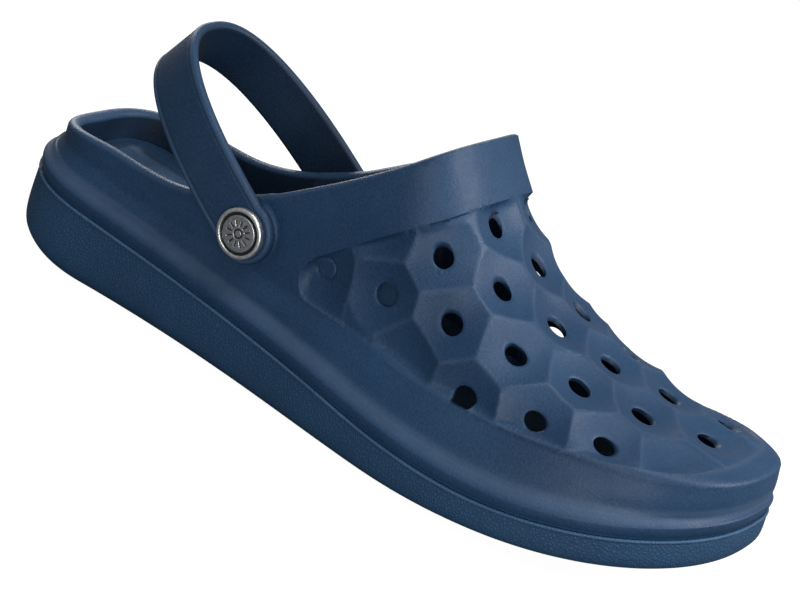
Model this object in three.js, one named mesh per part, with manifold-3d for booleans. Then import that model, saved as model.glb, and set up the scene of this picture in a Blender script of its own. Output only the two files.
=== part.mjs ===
// Rubber garden clog for the right foot, in millimetres: +Z up, toe towards +X,
// outer (lateral) side towards -Y. The heel strap is modelled raised, leaning back.
import * as THREE from 'three';
import Module from 'manifold-3d';
import { mergeVertices } from 'three/addons/utils/BufferGeometryUtils.js';

const wasm = await Module();
wasm.setup();

// ---------------------------------------------------------------- plan outline
const LENGTH = 290;
const HEEL_X = 38;             // centre of the rounded heel, from the heel end
const TOE_X = 205;             // centre of the rounded toe, from the heel end
const HEEL_HALF = 36.5;        // half width of the sole at the heel centre
const TOE_LATERAL = 56.7;      // half widths of the sole at the toe centre
const TOE_MEDIAL = 52.7;
const WAIST_LATERAL = 2;       // how far the waist is drawn in on each side
const WAIST_MEDIAL = 6.8;
const TOE_TIP_Y = 11.5;        // the toe tip lies towards the big toe
const HEEL_POWER = 2.9;        // superellipse powers of the heel and toe curves
const TOE_POWER = 2.4;

// ---------------------------------------------------------------- side profile
const HEEL_LIFT = 8.5;         // the sole curls up off the ground at both ends
const TOE_SPRING = 15;
const FLAT_FROM = 40;          // the sole lies flat on the ground between these
const FLAT_TO = 172;
// height of the seam between sole and upper, ridge line of the vamp, and foot opening
const SEAM = [
  [0, 33], [15, 28.6], [40, 25.2], [80, 21.9], [140, 17.6],
  [180, 13.8], [215, 13.5], [250, 18.4], [290, 27.7],
];
const CROWN = [
  [100, 171], [150, 124], [165, 101], [180, 82], [200, 66.7],
  [225, 56.8], [250, 50.6], [270, 49.2], [290, 47.2],
];
const RIM = [
  [0, 49], [30, 50.6], [65, 50.7], [95, 60.7], [120, 76.5], [145, 95.5], [160, 109.5], [200, 150],
];
const TREAD_DEPTH = 1.6;       // cross grooves in the sole
const TREAD_WIDTH = 4;
const TREAD_STEP = 17;
const FOOTBED = [[0, 40], [60, 37], [130, 33], [200, 25], [250, 27], [290, 34]];

// ---------------------------------------------------------------- upper
const GAP = 0.3;               // clearance kept between neighbouring pieces
const WALL = 4.5;
const VALLEY_INSET = [[0, 6], [22, 6.5], [50, 5.5], [100, 6.2], [160, 9], [240, 9], [290, 2.5]];
const VALLEY_RISE = [[0, 13], [20, 15], [60, 14.5], [110, 18], [160, 21.7], [240, 21.7], [290, 17]];
const BUMPER = [[1.5, 0], [1.5, 1.2], [0.6, 3.5], [0.8, 5.2], [4.4, 9.3]]; // inset, rise over the seam
const SIDE_POWER = 3.1;        // superellipse powers of the cross-section
const TOP_POWER = 2.25;
const PANEL_DEPTH = 0.5;       // the dimpled panel lies below the collar band
// side view of the panel: its lower edge, and the collar band's front edge
const PANEL_LOW = [[130, 39], [150, 38.5], [185, 36], [215, 37], [241, 40.5], [261, 43.6], [283, 47]];
const PANEL_TOP = [[200, 122], [172, 91.5], [160, 81], [146, 69.5], [131, 56.5], [125, 48]];

// ---------------------------------------------------------------- vents
// [x, y] in plan, row by row from the collar to the toe
const VENTS = [
  [170.9, -37.3], [176.4, -10.5], [173.5, 20.5], [168, 32.7],
  [183, -42.5], [190.2, -22.2], [188.5, 7.7], [189.5, 29.6], [176.7, 37.8],
  [197.4, -46.8], [205.9, -34.9], [206.6, -6.2], [204.5, 18.6], [207, 38.1], [189.9, 42.1],
  [222.6, -45.5], [226.7, -23.5], [225.1, 4], [222.6, 27.4], [225, 41.5],
  [245.7, -37.5], [245.4, -8.6], [243.6, 18.1], [244.5, 36.5],
  [264.7, 6.2], [262.6, 31.5],
];
const BLIND = [[156.9, -42], [156.9, 35.9]];      // dimples with a socket that does not go through
const CELLS = [                                   // dimples that the panel's edge cuts off
  [131.6, -38.6], [149, -39.2], [159.3, -33.9], [163, -9.7], [161, 16], [148.9, 33], [131, 31.6],
  [173, -44.8], [266, -26],
];
const VENT_D = 8.4;
const DIMPLE_R = 14;
const DIMPLE_DEPTH = 3.0;

// ---------------------------------------------------------------- strap and rivets
const PIVOT_X = 100.5;
const PIVOT_Z = 50.5;
const PAD_LATERAL = -36.8;     // flat pads on the upper that the strap ends turn on
const PAD_MEDIAL = 31.6;
const PAD_D = 24;
const PAD_THICK = 8;
const STRAP_W = 21.4;
const STRAP_T = 3.4;
const STRAP_BEVEL = 1.1;
const STRAP_REACH = 73.4;      // pivot to the far end of the loop
const STRAP_ANGLE = 33.6;      // raised above the horizontal
const STRAP_POWER = 2.4;
const LOBE_D = 22.5;
const SHANK_D = 5;
const HEAD_D = 18;
const HEAD_T = 2.4;
const BADGE_D = 13.8;
const BADGE_T = 1.1;

// ---------------------------------------------------------------- helpers
// Smooth curve through [x, value] knots, with slopes taken from each knot's neighbours.
function curve(knots) {
  const last = knots.length - 1;
  const slope = (i) => {
    const a = knots[Math.max(i - 1, 0)];
    const b = knots[Math.min(i + 1, last)];
    return (b[1] - a[1]) / (b[0] - a[0]);
  };
  return (x) => {
    let i = 0;
    while (i < last - 1 && x > knots[i + 1][0]) i++;
    const [[x0, v0], [x1, v1]] = [knots[i], knots[i + 1]];
    const w = x1 - x0;
    const t = (x - x0) / w;
    if (t < 0) return v0 + slope(0) * (x - x0);
    if (t > 1) return v1 + slope(last) * (x - x1);
    return v0 * (1 + 2 * t) * (1 - t) ** 2 + slope(i) * w * t * (1 - t) ** 2
      + v1 * t * t * (3 - 2 * t) + slope(i + 1) * w * t * t * (t - 1);
  };
}

const seamZ = curve(SEAM);
const crownZ = curve(CROWN);
const rimZ = curve(RIM);
const footbedZ = curve(FOOTBED);
const valleyInset = curve(VALLEY_INSET);
const valleyRise = curve(VALLEY_RISE);

function groundZ(x) {
  const heel = Math.max(0, (FLAT_FROM - x) / FLAT_FROM);
  const toe = Math.max(0, (x - FLAT_TO) / (LENGTH - FLAT_TO));
  return HEEL_LIFT * heel ** 2 + TOE_SPRING * toe ** 2;
}

// Half width of one side between the heel and toe centres.
function sideWidth(x, toeHalf, waist) {
  const s = (x - HEEL_X) / (TOE_X - HEEL_X);
  const ease = s * s * (3 - 2 * s);
  return HEEL_HALF + (toeHalf - HEEL_HALF) * ease - waist * Math.sin(Math.PI * s) ** 2;
}

const medialWidth = (x) => sideWidth(x, TOE_MEDIAL, WAIST_MEDIAL);
const lateralWidth = (x) => sideWidth(x, TOE_LATERAL, WAIST_LATERAL);
const spineY = (x) => (medialWidth(x) - lateralWidth(x)) / 2;

// The outline runs from the heel tip along the lateral side to the toe and back along the
// medial side. Every point has a partner on the spine that its ribs run to.
function outline(endSteps, sideSteps) {
  const points = [];
  const heel = [HEEL_X, 0];
  const toe = [TOE_X, spineY(TOE_X)];
  const bend = (v, power) => Math.abs(v) ** (2 / power);
  const heelPoint = (i, side) => {
    const a = (i / endSteps) * Math.PI / 2;
    const x = HEEL_X * (1 - bend(Math.cos(a), HEEL_POWER));
    return { edge: [x, side * HEEL_HALF * bend(Math.sin(a), HEEL_POWER)], spine: heel };
  };
  for (let i = 0; i <= endSteps; i++) points.push(heelPoint(i, -1));
  for (let i = 1; i < sideSteps; i++) {
    const x = HEEL_X + (TOE_X - HEEL_X) * i / sideSteps;
    points.push({ edge: [x, -lateralWidth(x)], spine: [x, spineY(x)] });
  }
  for (let i = -endSteps; i <= endSteps; i++) {
    const a = (i / endSteps) * Math.PI / 2;
    const half = i < 0 ? TOE_LATERAL + TOE_TIP_Y : TOE_MEDIAL - TOE_TIP_Y;
    const y = TOE_TIP_Y + Math.sign(i) * half * bend(Math.sin(a), TOE_POWER);
    points.push({ edge: [TOE_X + (LENGTH - TOE_X) * bend(Math.cos(a), TOE_POWER), y], spine: toe });
  }
  for (let i = sideSteps - 1; i > 0; i--) {
    const x = HEEL_X + (TOE_X - HEEL_X) * i / sideSteps;
    points.push({ edge: [x, medialWidth(x)], spine: [x, spineY(x)] });
  }
  for (let i = endSteps; i > 0; i--) points.push(heelPoint(i, 1));
  return points;
}

const OUTLINE = outline(7, 13);

// A ring of points moved inwards from the outline, at the height heightAt(x, edgeX).
function ring(inset, heightAt) {
  return OUTLINE.map(({ edge, spine }) => {
    const dx = spine[0] - edge[0];
    const dy = spine[1] - edge[1];
    const k = (typeof inset === 'function' ? inset(edge[0]) : inset) / Math.hypot(dx, dy);
    const x = edge[0] + dx * k;
    return [x, edge[1] + dy * k, heightAt(x, edge[0])];
  });
}

const spineRing = (heightAt) => OUTLINE.map(({ spine }) => [spine[0], spine[1], heightAt(spine[0])]);

// Closed surface through a stack of rings; the end rings are folded onto a line or flat.
function skin(rings, capped = false) {
  const n = rings[0].length;
  const stack = capped ? [centre(rings[0]), ...rings, centre(rings.at(-1))] : rings;
  const vertices = stack.flat(2);
  const index = [];
  const same = (a, b) => [0, 1, 2].every((k) => Math.abs(vertices[3 * a + k] - vertices[3 * b + k]) < 1e-6);
  const triangle = (a, b, c) => {
    if (!same(a, b) && !same(b, c) && !same(c, a)) index.push(a, b, c);
  };
  for (let level = 0; level < stack.length - 1; level++) {
    for (let i = 0; i < n; i++) {
      const j = (i + 1) % n;
      const [a, b, c, d] = [level * n + i, level * n + j, (level + 1) * n + j, (level + 1) * n + i];
      triangle(a, b, c);
      triangle(a, c, d);
    }
  }
  const geometry = new THREE.BufferGeometry();
  geometry.setAttribute('position', new THREE.Float32BufferAttribute(vertices, 3));
  geometry.setIndex(index);
  return geometry;
}

function centre(points) {
  const middle = [0, 1, 2].map((k) => points.reduce((sum, p) => sum + p[k], 0) / points.length);
  return points.map(() => middle);
}

function solid(geometry) {
  geometry.deleteAttribute('normal');
  geometry.deleteAttribute('uv');
  const merged = mergeVertices(geometry, 1e-4);
  return new wasm.Manifold(new wasm.Mesh({
    numProp: 3,
    vertProperties: new Float32Array(merged.attributes.position.array),
    triVerts: new Uint32Array(merged.index.array),
  }));
}

function toGeometry(body) {
  const mesh = body.getMesh();
  const geometry = new THREE.BufferGeometry();
  geometry.setAttribute('position', new THREE.Float32BufferAttribute(mesh.vertProperties, 3));
  geometry.setIndex(Array.from(mesh.triVerts));
  return geometry;
}

const union = (bodies) => bodies.reduce((a, b) => a.add(b));

// Prism across the whole shoe with the given [x, z] side-view outline.
function sidePrism(points) {
  const shape = new THREE.Shape(points.map(([x, z]) => new THREE.Vector2(x, z)));
  const geometry = new THREE.ExtrudeGeometry(shape, { depth: 200, bevelEnabled: false, curveSegments: 1 });
  geometry.rotateX(Math.PI / 2);
  geometry.translate(0, 100, 0);
  return solid(geometry);
}

// Solid of revolution about Y through (x, z): profile of [radius, distance along +Y].
function turned(profile, segments = 32) {
  const points = profile.map(([r, a]) => new THREE.Vector2(r, a));
  return new THREE.LatheGeometry(points, segments);
}

function cylinderY(diameter, from, to, segments = 32) {
  const r = diameter / 2;
  return turned([[0, from], [r, from], [r, to], [0, to]], segments);
}

// ---------------------------------------------------------------- outsole
function outsole() {
  const top = (x) => seamZ(x);
  const wall = (share) => (x, edgeX) => groundZ(edgeX) + (seamZ(x) - groundZ(edgeX)) * share;
  const body = solid(skin([
    spineRing(groundZ), ring(18, groundZ), ring(7, groundZ), ring(3, wall(0.06)), ring(0.6, wall(0.2)),
    ring(0, wall(0.42)), ring(0.3, wall(0.82)), ring(1.2, top), ring(14, top), spineRing(top),
  ]));
  const below = () => -5;
  const grooveTop = (x) => groundZ(x) + TREAD_DEPTH;
  const foot = solid(skin([spineRing(below), ring(9, below), ring(9, grooveTop), spineRing(grooveTop)]));
  return toGeometry(body.subtract(foot.intersect(union(treadGrooves()))));
}

function treadGrooves() {
  const grooves = [];
  for (let x = TREAD_STEP; x < LENGTH; x += TREAD_STEP) {
    const bar = new THREE.BoxGeometry(TREAD_WIDTH, 150, 60);
    bar.translate(x + TREAD_WIDTH, 0, 0);
    grooves.push(solid(bar));
  }
  return grooves;
}

// ---------------------------------------------------------------- upper
// Ring on the domed part: angle 0 is the valley above the bumper, 90 degrees the crown.
function domeRing(angle, inset, drop) {
  const out = Math.cos(angle) ** (2 / SIDE_POWER);
  const up = Math.sin(angle) ** (2 / TOP_POWER);
  return OUTLINE.map(({ edge, spine }) => {
    const dx = edge[0] - spine[0];
    const dy = edge[1] - spine[1];
    const k = 1 - (valleyInset(edge[0]) + inset) / Math.hypot(dx, dy);
    const base = seamZ(edge[0] - dx * (1 - k)) + valleyRise(edge[0]);
    const x = spine[0] + dx * k * out;
    return [x, spine[1] + dy * k * out, base + (crownZ(x) - drop - base) * up];
  });
}

function dome(inset, drop, steps) {
  return Array.from({ length: steps }, (_, i) => domeRing(Math.PI / 2 * (i + 1) / steps, inset, drop));
}

function outerBody(sink) {
  const floor = (x) => seamZ(x) + GAP;
  return solid(skin([
    spineRing(floor),
    ...BUMPER.map(([inset, rise]) => ring(
      (x) => Math.min(inset, 0.6 * valleyInset(x)), (x) => seamZ(x) + Math.max(rise, GAP),
    )),
    ring((x) => 0.68 * valleyInset(x), (x, edgeX) => seamZ(x) + 0.64 * valleyRise(edgeX)),
    domeRing(0, sink, sink), ...dome(sink, sink, 14),
  ]));
}

function innerBody() {
  const below = (x) => seamZ(x) - 10;
  return solid(skin([
    spineRing(below), ring((x) => valleyInset(x) + WALL, below),
    domeRing(0, WALL, 0), ...dome(WALL, WALL * 1.15, 12),
  ]));
}

function footOpening() {
  const steps = 24;
  const line = Array.from({ length: steps + 1 }, (_, i) => -10 + 210 * i / steps).map((x) => [x, rimZ(x)]);
  return sidePrism([...line, [200, 400], [-10, 400]]);
}

// The sunk field of the panel: a skin-deep layer of the upper inside the panel's side view.
function panelPrism() {
  return sidePrism([...PANEL_LOW, [284, 60], [284, 122], ...PANEL_TOP]);
}

// Fraction of the way from the spine to the valley line at plan position (x, y), with the
// height of the valley there.
function planShare(x, y) {
  if (x <= TOE_X) {
    const [half, waist] = y < spineY(x) ? [TOE_LATERAL, WAIST_LATERAL] : [TOE_MEDIAL, WAIST_MEDIAL];
    const side = y < spineY(x) ? -1 : 1;
    const full = Math.abs(side * sideWidth(x, half, waist) - spineY(x)) - valleyInset(x);
    return { share: Math.abs(y - spineY(x)) / full, base: seamZ(x) + valleyRise(x) };
  }
  const from = [TOE_X, spineY(TOE_X)];
  const away = Math.hypot(x - from[0], y - from[1]);
  const [ux, uy] = [(x - from[0]) / away, (y - from[1]) / away];
  let [near, far] = [0, LENGTH];
  for (let i = 0; i < 30; i++) {
    const r = (near + far) / 2;
    const v = from[1] + uy * r - TOE_TIP_Y;
    const half = v < 0 ? TOE_LATERAL + TOE_TIP_Y : TOE_MEDIAL - TOE_TIP_Y;
    const inside = (ux * r / (LENGTH - TOE_X)) ** TOE_POWER + Math.abs(v / half) ** TOE_POWER < 1;
    if (inside) near = r; else far = r;
  }
  const edgeX = from[0] + ux * near;
  const valley = near - valleyInset(edgeX);
  return { share: away / valley, base: seamZ(from[0] + ux * valley) + valleyRise(edgeX) };
}

function vampZ(x, y) {
  const { share, base } = planShare(x, y);
  const up = Math.max(0, 1 - share ** SIDE_POWER) ** (1 / TOP_POWER);
  return base + (crownZ(x) - base) * up;
}

const onVamp = ([x, y]) => ({ x, y, z: vampZ(x, y) });

function vampNormal({ x, y }) {
  const h = 0.5;
  const [dx, dy] = [vampZ(x - h, y) - vampZ(x + h, y), vampZ(x, y - h) - vampZ(x, y + h)];
  return new THREE.Vector3(dx, dy, 2 * h).normalize();
}

// Turned tool with its axis along the outward normal of the vamp at a vent.
function atVent(site, profile, segments) {
  const tool = turned(profile, segments);
  const turn = new THREE.Quaternion().setFromUnitVectors(new THREE.Vector3(0, 1, 0), vampNormal(site));
  tool.applyQuaternion(turn);
  tool.translate(site.x, site.y, site.z);
  return solid(tool);
}

// Shallow dish that cuts a hexagonal cell where it meets its neighbours.
function dish(site) {
  const profile = [[0, -DIMPLE_DEPTH]];
  for (const share of [0.45, 0.8, 1.15]) {
    profile.push([DIMPLE_R * share, -DIMPLE_DEPTH * (1 - share ** 2)]);
  }
  profile.push([DIMPLE_R * 1.15, 6], [0, 6]);
  return atVent(site, profile, 16);
}

function vent(site, depth) {
  return atVent(site, [[0, -depth], [VENT_D / 2, -depth], [VENT_D / 2, 8], [0, 8]], 16);
}

function rivetPad(side, pad) {
  const inside = pad - side * PAD_THICK;
  const boss = cylinderY(PAD_D, Math.min(pad, inside), Math.max(pad, inside));
  boss.translate(PIVOT_X, 0, PIVOT_Z);
  return solid(boss);
}

function rivetClearance(side, pad) {
  const room = cylinderY(PAD_D + 1.5, Math.min(pad, pad + side * 30), Math.max(pad, pad + side * 30), 40);
  const hole = cylinderY(SHANK_D + 2 * GAP, pad - 20, pad + 20);
  for (const tool of [room, hole]) tool.translate(PIVOT_X, 0, PIVOT_Z);
  return solid(room).add(solid(hole));
}

function upper() {
  const [through, blind, cells] = [VENTS, BLIND, CELLS].map((plan) => plan.map(onVamp));
  const dimpled = outerBody(PANEL_DEPTH).subtract(union([...through, ...blind, ...cells].map(dish)));
  return toGeometry(outerBody(0)
    .subtract(panelPrism().subtract(dimpled))
    .subtract(innerBody())
    .subtract(footOpening())
    .subtract(union([...through.map((site) => vent(site, 12)), ...blind.map((site) => vent(site, 4))]))
    .add(rivetPad(-1, PAD_LATERAL)).add(rivetPad(1, PAD_MEDIAL))
    .subtract(rivetClearance(-1, PAD_LATERAL)).subtract(rivetClearance(1, PAD_MEDIAL)));
}

// ---------------------------------------------------------------- footbed
function footbed() {
  const inset = (extra) => (x) => valleyInset(x) + WALL + GAP + extra;
  const under = (x) => seamZ(x) + GAP;
  return toGeometry(solid(skin([
    spineRing(under), ring(inset(0), under), ring(inset(0), (x) => footbedZ(x) - 1.5),
    ring(inset(2), footbedZ), ring(inset(14), (x) => footbedZ(x) - 1.5),
    spineRing((x) => footbedZ(x) - 2.5),
  ])));
}

// ---------------------------------------------------------------- strap
// Loop in the plane through both rivets: distance back from the pivot, and y.
function loopPoint(angle) {
  const half = (LOBE_MEDIAL - LOBE_LATERAL) / 2;
  const bend = (v) => Math.sign(v) * Math.abs(v) ** (2 / STRAP_POWER);
  const back = (STRAP_REACH) * Math.abs(bend(Math.cos(angle)));
  return [back, (LOBE_MEDIAL + LOBE_LATERAL) / 2 + half * bend(Math.sin(angle))];
}

const LOBE_OFF = GAP + STRAP_T / 2;   // middle of the strap end, out from its pad
const LOBE_LATERAL = PAD_LATERAL - LOBE_OFF;
const LOBE_MEDIAL = PAD_MEDIAL + LOBE_OFF;

function heelStrap() {
  const steps = 40;
  const [w, t, b] = [STRAP_W / 2, STRAP_T / 2, STRAP_BEVEL];
  const profile = [
    [-w, t - b], [-w + b, t], [w - b, t], [w, t - b], [w, -t + b], [w - b, -t], [-w + b, -t], [-w, -t + b],
  ];
  const rings = [];
  for (let i = 0; i <= steps; i++) {
    const angle = Math.PI * (i / steps - 0.5);
    const [back, y] = loopPoint(angle);
    const [b0, y0] = loopPoint(Math.max(angle - 0.01, -Math.PI / 2));
    const [b1, y1] = loopPoint(Math.min(angle + 0.01, Math.PI / 2));
    const length = Math.hypot(b1 - b0, y1 - y0);
    const [nb, ny] = [(y1 - y0) / length, -(b1 - b0) / length];
    rings.push(profile.map(([across, out]) => [-(back + nb * out), y + ny * out, across]));
  }
  const band = solid(skin(rings, true));
  const lobe = (y) => solid(cylinderY(LOBE_D, y - STRAP_T / 2, y + STRAP_T / 2));
  const lobes = [LOBE_LATERAL, LOBE_MEDIAL].map(lobe);
  const hole = solid(cylinderY(SHANK_D + 2 * GAP, -100, 100));
  const geometry = toGeometry(band.add(lobes[0]).add(lobes[1]).subtract(hole));
  geometry.rotateY(THREE.MathUtils.degToRad(STRAP_ANGLE));
  geometry.translate(PIVOT_X, 0, PIVOT_Z);
  return geometry;
}

// ---------------------------------------------------------------- rivets
// Profiles run along the rivet axis: 0 is the pad on the upper, positive is outwards.
const HEAD_FROM = GAP + STRAP_T + GAP;
const HEAD_TO = HEAD_FROM + HEAD_T;
const SEAT_R = BADGE_D / 2 + 0.5;
const SHANK_END = -PAD_THICK - 2.6;

function stud() {
  const [shank, head] = [SHANK_D / 2, HEAD_D / 2];
  const floor = HEAD_TO - BADGE_T;
  return turned([
    [0, SHANK_END], [shank, SHANK_END], [shank, HEAD_FROM],
    [head - 0.6, HEAD_FROM], [head, HEAD_FROM + 0.6], [head, HEAD_TO - 0.7], [head - 0.7, HEAD_TO],
    [SEAT_R, HEAD_TO], [SEAT_R, floor], [0, floor],
  ]);
}

function socket() {
  const [bore, seat] = [SHANK_D / 2 + GAP, -PAD_THICK - GAP];
  return turned([
    [0, SHANK_END - 1.6], [5.5, SHANK_END - 1.6], [6.5, seat - 2.2], [6.5, seat],
    [bore, seat], [bore, SHANK_END - GAP], [0, SHANK_END - GAP],
  ]);
}

function badge() {
  const low = HEAD_TO - BADGE_T + GAP;
  const r = BADGE_D / 2;
  return turned([
    [0, low], [r, low], [r, HEAD_TO], [5.2, HEAD_TO + 0.15], [5.0, HEAD_TO - 0.25], [4.4, HEAD_TO - 0.25],
    [4.2, HEAD_TO + 0.15], [0, HEAD_TO + 0.2],
  ]);
}

function placeRivet(geometry, side, pad) {
  if (side < 0) geometry.rotateX(Math.PI);
  geometry.translate(PIVOT_X, pad, PIVOT_Z);
  return geometry;
}

// ---------------------------------------------------------------- assembly
const FOAM = { color: 0x2c4668, roughness: 0.75, metalness: 0 };
const SOLE = { color: 0x24405f, roughness: 0.8, metalness: 0 };
const METAL = { color: 0xb9bcc0, roughness: 0.35, metalness: 1 };
const PLASTIC = { color: 0x15171c, roughness: 0.5, metalness: 0 };

const clog = new THREE.Group();
clog.name = 'garden_clog';

function addPart(name, geometry, look) {
  const mesh = new THREE.Mesh(geometry, new THREE.MeshStandardMaterial({ ...look, name }));
  mesh.name = name;
  clog.add(mesh);
}

addPart('outsole', outsole(), SOLE);
addPart('upper_shell', upper(), FOAM);
addPart('footbed', footbed(), FOAM);
addPart('heel_strap', heelStrap(), FOAM);
for (const [name, side, pad] of [['lateral', -1, PAD_LATERAL], ['medial', 1, PAD_MEDIAL]]) {
  addPart(`rivet_stud_${name}`, placeRivet(stud(), side, pad), METAL);
  addPart(`rivet_badge_${name}`, placeRivet(badge(), side, pad), METAL);
  addPart(`rivet_socket_${name}`, placeRivet(socket(), side, pad), PLASTIC);
}

// The origin is the middle of the footprint, on the ground.
const box = new THREE.Box3().setFromObject(clog);
const middle = box.getCenter(new THREE.Vector3());
for (const mesh of clog.children) {
  mesh.geometry.translate(-middle.x, -middle.y, -box.min.z);
  mesh.geometry.computeVertexNormals();
}

export default clog;
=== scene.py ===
"""Rubber garden clog, right foot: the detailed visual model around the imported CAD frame.

Shapes are worked out in millimetres in "last" coordinates (x from the heel end, y = 0 on the heel's
middle line, z from the ground) and put into the row frame in metres at the end, by to_frame().
"""
import math

import bpy
import numpy as np
from mathutils import Matrix
from mathutils.geometry import delaunay_2d_cdt
from mathutils.kdtree import KDTree


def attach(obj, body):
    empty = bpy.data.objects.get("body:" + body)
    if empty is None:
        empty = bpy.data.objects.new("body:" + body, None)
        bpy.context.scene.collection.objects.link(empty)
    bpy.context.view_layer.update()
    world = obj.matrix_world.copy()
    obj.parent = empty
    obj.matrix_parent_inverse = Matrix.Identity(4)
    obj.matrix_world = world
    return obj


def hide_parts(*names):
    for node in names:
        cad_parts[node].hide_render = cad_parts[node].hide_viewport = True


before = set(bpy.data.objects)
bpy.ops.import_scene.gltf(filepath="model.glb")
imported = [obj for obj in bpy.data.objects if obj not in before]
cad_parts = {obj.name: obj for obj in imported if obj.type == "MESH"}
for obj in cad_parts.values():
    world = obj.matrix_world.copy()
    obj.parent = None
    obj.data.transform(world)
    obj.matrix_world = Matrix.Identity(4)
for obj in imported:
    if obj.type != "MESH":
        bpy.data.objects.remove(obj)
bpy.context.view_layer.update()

# ------------------------------------------------------------------ dimensions, mm, as in the CAD
LENGTH = 290.0
HEEL_X, TOE_X = 38.0, 205.0
HEEL_HALF, TOE_LATERAL, TOE_MEDIAL = 36.5, 56.7, 52.7
WAIST_LATERAL, WAIST_MEDIAL = 2.0, 6.8
TOE_TIP_Y = 11.5
HEEL_POWER, TOE_POWER = 2.9, 2.4
HEEL_LIFT, TOE_SPRING, FLAT_FROM, FLAT_TO = 8.5, 15.0, 40.0, 172.0
SEAM = [[0, 33], [15, 28.6], [40, 25.2], [80, 21.9], [140, 17.6], [180, 13.8], [215, 13.5], [250, 18.4],
        [290, 27.7]]
CROWN = [[100, 171], [150, 124], [165, 101], [180, 82], [200, 66.7], [225, 56.8], [250, 50.6], [270, 49.2],
         [290, 47.2]]
RIM = [[0, 49], [30, 50.6], [65, 50.7], [95, 60.7], [120, 76.5], [145, 95.5], [160, 109.5], [200, 150]]
FOOTBED = [[0, 40], [60, 37], [130, 33], [200, 25], [250, 27], [290, 34]]
GAP, WALL = 0.3, 4.5
VALLEY_INSET = [[0, 6], [22, 6.5], [50, 5.5], [100, 6.2], [160, 9], [240, 9], [290, 2.5]]
VALLEY_RISE = [[0, 13], [20, 15], [60, 14.5], [110, 18], [160, 21.7], [240, 21.7], [290, 17]]
SIDE_POWER, TOP_POWER = 3.1, 2.25
PANEL_DEPTH = 0.5
PANEL_LOW = [[130, 39], [150, 38.5], [185, 36], [215, 37], [241, 40.5], [261, 43.6], [283, 47]]
PANEL_REAR = [[125.3, 49.5], [124.8, 46], [125.6, 42.5], [127.5, 40]]
PANEL_TOP = [[200, 122], [172, 91.5], [160, 81], [146, 69.5], [131, 56.5], [127, 52.5]]
VENTS = [
    [170.9, -37.3], [176.4, -10.5], [173.5, 20.5], [168, 32.7],
    [183, -42.5], [190.2, -22.2], [188.5, 7.7], [189.5, 29.6], [176.7, 37.8],
    [197.4, -46.8], [205.9, -34.9], [206.6, -6.2], [204.5, 18.6], [207, 38.1], [189.9, 42.1],
    [222.6, -45.5], [226.7, -23.5], [225.1, 4], [222.6, 27.4], [225, 41.5],
    [245.7, -37.5], [245.4, -8.6], [243.6, 18.1], [244.5, 36.5],
    [264.7, 6.2], [262.6, 31.5],
]
BLIND = [[156.9, -42], [156.9, 35.9]]              # dimples with a socket that does not go through
CELLS = [[131.6, -38.6], [149, -39.2], [159.3, -33.9], [163, -9.7], [161, 16], [148.9, 33], [131, 31.6],
         [173, -44.8], [266, -26]]                  # dimples that the panel's edge cuts off
SMALL = [[131.6, -38.6], [131, 31.6]]               # these two have a shallow ring instead
VENT_R, DIMPLE_R, DIMPLE_DEPTH = 4.2, 14.0, 3.0
TREAD_DEPTH, TREAD_WIDTH, TREAD_STEP = 1.6, 4.0, 17.0
PIVOT_X, PIVOT_Z = 100.5, 50.5
PAD_LATERAL, PAD_MEDIAL, PAD_D, PAD_THICK = -36.8, 31.6, 24.0, 8.0
STRAP_W, STRAP_T, STRAP_REACH, STRAP_ANGLE, STRAP_POWER = 21.4, 3.4, 73.4, 33.6, 2.4
LOBE_D, SHANK_D, HEAD_D, HEAD_T, BADGE_T = 22.5, 5.0, 18.0, 2.4, 1.1
MIDDLE = (145.0, -2.0)                    # the row frame's origin in last coordinates

# ------------------------------------------------------------------ camera
CAMERA_AZIMUTH, CAMERA_ELEVATION, CAMERA_ROLL = 23.26, 20.57, 19.71
CAMERA_DISTANCE, CAMERA_TARGET, LENS = 0.8175, (0.0004, 0.002, 0.04075), 106.3


def make_camera():
    a, e, roll = (math.radians(v) for v in (CAMERA_AZIMUTH, CAMERA_ELEVATION, CAMERA_ROLL))
    back = np.array([math.sin(a) * math.cos(e), -math.cos(a) * math.cos(e), math.sin(e)])
    level = np.array([math.cos(a), math.sin(a), 0.0])
    rise = np.cross(back, level)
    right = level * math.cos(roll) + rise * math.sin(roll)
    up = -level * math.sin(roll) + rise * math.cos(roll)
    camera = bpy.data.objects.new("camera", bpy.data.cameras.new("camera"))
    bpy.context.scene.collection.objects.link(camera)
    camera.data.lens = LENS
    place = np.array(CAMERA_TARGET) + back * CAMERA_DISTANCE
    camera.matrix_world = Matrix([[right[i], up[i], back[i], place[i]] for i in range(3)] + [[0, 0, 0, 1]])
    bpy.context.scene.camera = camera


# ------------------------------------------------------------------ curves and outline
def curve(knots):
    """Smooth curve through [x, value] knots, the slope at each taken from its neighbours."""
    xs, vs = np.array(knots, float).T
    slope = np.empty_like(xs)
    slope[1:-1] = (vs[2:] - vs[:-2]) / (xs[2:] - xs[:-2])
    slope[0], slope[-1] = (vs[1] - vs[0]) / (xs[1] - xs[0]), (vs[-1] - vs[-2]) / (xs[-1] - xs[-2])

    def at(x):
        x = np.asarray(x, float)
        i = np.clip(np.searchsorted(xs, x) - 1, 0, len(xs) - 2)
        w = xs[i + 1] - xs[i]
        t = (x - xs[i]) / w
        inner = (vs[i] * (1 + 2 * t) * (1 - t) ** 2 + slope[i] * w * t * (1 - t) ** 2
                 + vs[i + 1] * t * t * (3 - 2 * t) + slope[i + 1] * w * t * t * (t - 1))
        before, after = vs[0] + slope[0] * (x - xs[0]), vs[-1] + slope[-1] * (x - xs[-1])
        return np.where(t < 0, before, np.where(t > 1, after, inner))
    return at


seam_z, crown_z, rim_z, footbed_z = curve(SEAM), curve(CROWN), curve(RIM), curve(FOOTBED)
valley_inset, valley_rise, panel_low = curve(VALLEY_INSET), curve(VALLEY_RISE), curve(PANEL_LOW)


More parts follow.
